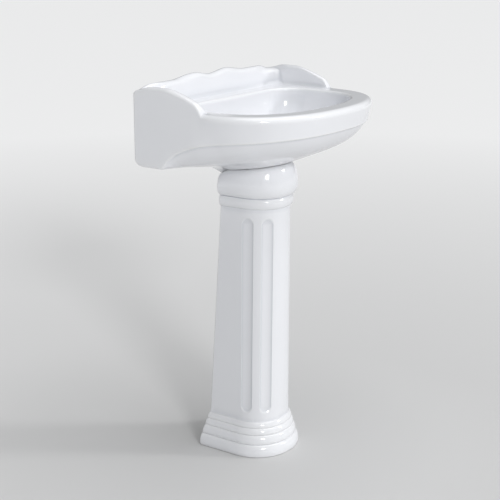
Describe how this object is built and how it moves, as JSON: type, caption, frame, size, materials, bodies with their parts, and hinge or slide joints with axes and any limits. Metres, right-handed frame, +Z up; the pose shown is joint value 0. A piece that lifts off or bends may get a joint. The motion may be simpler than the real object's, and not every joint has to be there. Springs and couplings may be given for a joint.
{
  "type": "pedestal sink",
  "caption": "Wall-backed ceramic basin with bowed front, side wings and scalloped back panel, standing on a fluted pedestal, with push-down drain and trap.",
  "frame": {"origin": "on the floor, at the middle of the object's box in plan", "axes": "+Z up; -Y is the front, where the user stands, and the wall is at the +Y side; X runs along the wall"},
  "size_m": [0.525, 0.384, 0.8966],
  "materials": {
    "china": "gloss",
    "rubber": "matte",
    "chrome": "polished",
    "brass": "satin",
    "steel": "satin",
    "nylon": "satin"
  },
  "bodies": {
    "fixed": {"basin": "china", "pedestal": "china", "front_pad": "rubber", "left_pad": "rubber", "right_pad": "rubber", "drain_body": "chrome", "flange_gasket": "rubber", "tapered_gasket": "rubber", "friction_washer": "nylon", "drain_locknut": "brass", "cartridge_housing": "nylon", "cartridge_spring": "steel", "tailpiece": "chrome", "tailpiece_nut": "chrome", "tailpiece_washer": "rubber", "trap_inlet_nut": "chrome", "trap_inlet_washer": "rubber", "trap_bend": "chrome", "trap_union_nut": "chrome", "trap_union_washer": "rubber", "trap_arm": "chrome", "left_hanger_stud": "steel", "left_shoulder_washer": "nylon", "left_cap_nut": "steel", "right_hanger_stud": "steel", "right_shoulder_washer": "nylon", "right_cap_nut": "steel"},
    "stopper": {"stopper_cap": "chrome", "stopper_seal": "rubber", "stopper_plunger": "brass"}
  },
  "joints": [
    {"name": "stopper_slide", "type": "slide", "parent": "fixed", "child": "stopper", "axis": [0, 0, 1], "range_m": [0, 0.009], "deforming": ["cartridge_spring"]}
  ]
}
